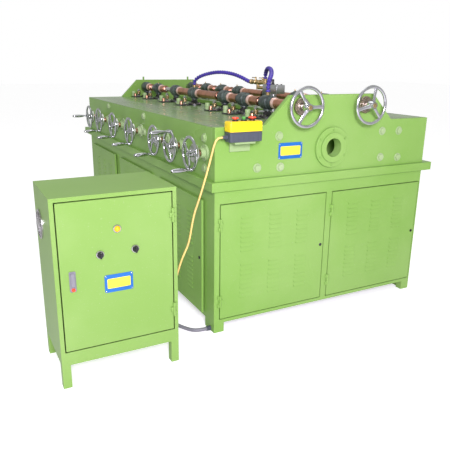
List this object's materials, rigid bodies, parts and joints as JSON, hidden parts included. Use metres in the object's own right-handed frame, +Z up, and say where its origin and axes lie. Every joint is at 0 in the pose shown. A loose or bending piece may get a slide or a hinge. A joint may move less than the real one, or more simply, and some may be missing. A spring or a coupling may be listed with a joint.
{
  "type": "roller straightening machine",
  "caption": "Floor-standing roller straightener with two rows of gear heads, crank handwheels, louvred base and a free-standing control cabinet.",
  "frame": {"origin": "middle of the footprint on the floor, without the cable and the conduit", "axes": "+X right along the front, +Y from the front to the rear, +Z up"},
  "size_m": [2.127, 2.564, 1.2707],
  "materials": {
    "machine_paint": "gloss light green enamel",
    "chrome": "polished handwheels",
    "steel": "bright steel",
    "cast_dark": "dark green-grey castings",
    "copper": "copper coloured sleeves",
    "brass": "brass fittings",
    "aluminium": "aluminium block",
    "blue_plastic": "segmented hose",
    "yellow_plastic": "cover and cable",
    "grey_plastic": "base, glands, conduit",
    "red_plastic": "buttons"
  },
  "bodies": {
    "machine": {"base_front_frame": "machine_paint", "base_left_frame": "machine_paint", "base_right_side": "machine_paint", "base_rear_side": "machine_paint", "base_floor": "machine_paint", "coolant_tray": "machine_paint", "bed_left_beam": "machine_paint", "bed_right_beam": "machine_paint", "front_end_plate": "machine_paint", "rear_end_plate": "machine_paint", "entry_flange": "machine_paint", "exit_flange": "machine_paint", "roll_bed": "machine_paint", "left_roll_slides": "cast_dark", "right_roll_brackets": "cast_dark", "left_rolls": "steel", "right_rolls": "steel", "side_shaft_bosses": "machine_paint", "front_shaft_bosses": "brass", "coolant_manifold": "aluminium", "coolant_tee": "brass", "valve_levers": "brass", "hose_fittings": "brass", "deck_fittings": "cast_dark", "coolant_hose_rear": "blue_plastic", "coolant_hose_front": "blue_plastic", "pendant_bracket": "machine_paint", "pendant_base": "grey_plastic", "pendant_cover": "yellow_plastic", "pendant_buttons": "red_plastic", "pendant_cable": "yellow_plastic", "floor_conduit": "grey_plastic", "cable_glands": "grey_plastic", "cabinet_body": "machine_paint", "fan_guard": "grey_plastic", "left_gear_heads": "cast_dark", "left_head_posts": "cast_dark", "right_gear_heads": "cast_dark", "right_head_posts": "cast_dark"},
    "front_door_left": {"front_door_left": "machine_paint"},
    "front_door_right": {"front_door_right": "machine_paint"},
    "side_door_front": {"side_door_front": "machine_paint"},
    "side_door_middle": {"side_door_middle": "machine_paint"},
    "side_door_rear": {"side_door_rear": "machine_paint"},
    "cabinet_door": {"cabinet_door": "machine_paint", "cabinet_controls": "grey_plastic", "cabinet_latch": "grey_plastic"},
    "side_handwheel_1": {"side_handwheel_1": "chrome"},
    "side_handwheel_2": {"side_handwheel_2": "chrome"},
    "side_handwheel_3": {"side_handwheel_3": "chrome"},
    "side_handwheel_4": {"side_handwheel_4": "chrome"},
    "side_handwheel_5": {"side_handwheel_5": "chrome"},
    "side_handwheel_6": {"side_handwheel_6": "chrome"},
    "side_handwheel_7": {"side_handwheel_7": "chrome"},
    "front_handwheel_left": {"front_handwheel_left": "chrome", "left_line_shaft": "steel", "left_sleeves": "copper"},
    "front_handwheel_right": {"front_handwheel_right": "chrome", "right_line_shaft": "steel", "right_sleeves": "copper"}
  },
  "joints": [
    {"name": "front_door_left_hinge", "type": "hinge", "parent": "machine", "child": "front_door_left", "pos_m": [-0.262, -1.111, 0.072], "axis": [0, 0, -1], "range_deg": [0, 100]},
    {"name": "front_door_right_hinge", "type": "hinge", "parent": "machine", "child": "front_door_right", "pos_m": [0.388, -1.111, 0.072], "axis": [0, 0, -1], "range_deg": [0, 100]},
    {"name": "side_door_front_hinge", "type": "hinge", "parent": "machine", "child": "side_door_front", "pos_m": [-0.3025, -0.386, 0.069], "axis": [0, 0, -1], "range_deg": [0, 18]},
    {"name": "side_door_middle_hinge", "type": "hinge", "parent": "machine", "child": "side_door_middle", "pos_m": [-0.3025, 0.339, 0.069], "axis": [0, 0, -1], "range_deg": [0, 110]},
    {"name": "side_door_rear_hinge", "type": "hinge", "parent": "machine", "child": "side_door_rear", "pos_m": [-0.3025, 1.064, 0.069], "axis": [0, 0, -1], "range_deg": [0, 110]},
    {"name": "cabinet_door_hinge", "type": "hinge", "parent": "machine", "child": "cabinet_door", "pos_m": [-0.563, -1.265, 0.165], "axis": [0, 0, 1], "range_deg": [0, 100]},
    {"name": "side_handwheel_1_hinge", "type": "hinge", "parent": "machine", "child": "side_handwheel_1", "pos_m": [-0.3725, 0.863, 0.887], "axis": [-1, 0, 0], "continuous": true},
    {"name": "side_handwheel_2_hinge", "type": "hinge", "parent": "machine", "child": "side_handwheel_2", "pos_m": [-0.3725, 0.589, 0.887], "axis": [-1, 0, 0], "continuous": true},
    {"name": "side_handwheel_3_hinge", "type": "hinge", "parent": "machine", "child": "side_handwheel_3", "pos_m": [-0.3725, 0.243, 0.887], "axis": [-1, 0, 0], "continuous": true},
    {"name": "side_handwheel_4_hinge", "type": "hinge", "parent": "machine", "child": "side_handwheel_4", "pos_m": [-0.3725, -0.106, 0.887], "axis": [-1, 0, 0], "continuous": true},
    {"name": "side_handwheel_5_hinge", "type": "hinge", "parent": "machine", "child": "side_handwheel_5", "pos_m": [-0.3725, -0.527, 0.887], "axis": [-1, 0, 0], "continuous": true},
    {"name": "side_handwheel_6_hinge", "type": "hinge", "parent": "machine", "child": "side_handwheel_6", "pos_m": [-0.3725, -0.757, 0.887], "axis": [-1, 0, 0], "continuous": true},
    {"name": "side_handwheel_7_hinge", "type": "hinge", "parent": "machine", "child": "side_handwheel_7", "pos_m": [-0.3725, -1.008, 0.887], "axis": [-1, 0, 0], "continuous": true},
    {"name": "front_handwheel_left_hinge", "type": "hinge", "parent": "machine", "child": "front_handwheel_left", "pos_m": [0.1625, -1.156, 1.091], "axis": [0, -1, 0], "continuous": true},
    {"name": "front_handwheel_right_hinge", "type": "hinge", "parent": "machine", "child": "front_handwheel_right", "pos_m": [0.5525, -1.156, 1.091], "axis": [0, -1, 0], "continuous": true}
  ]
}
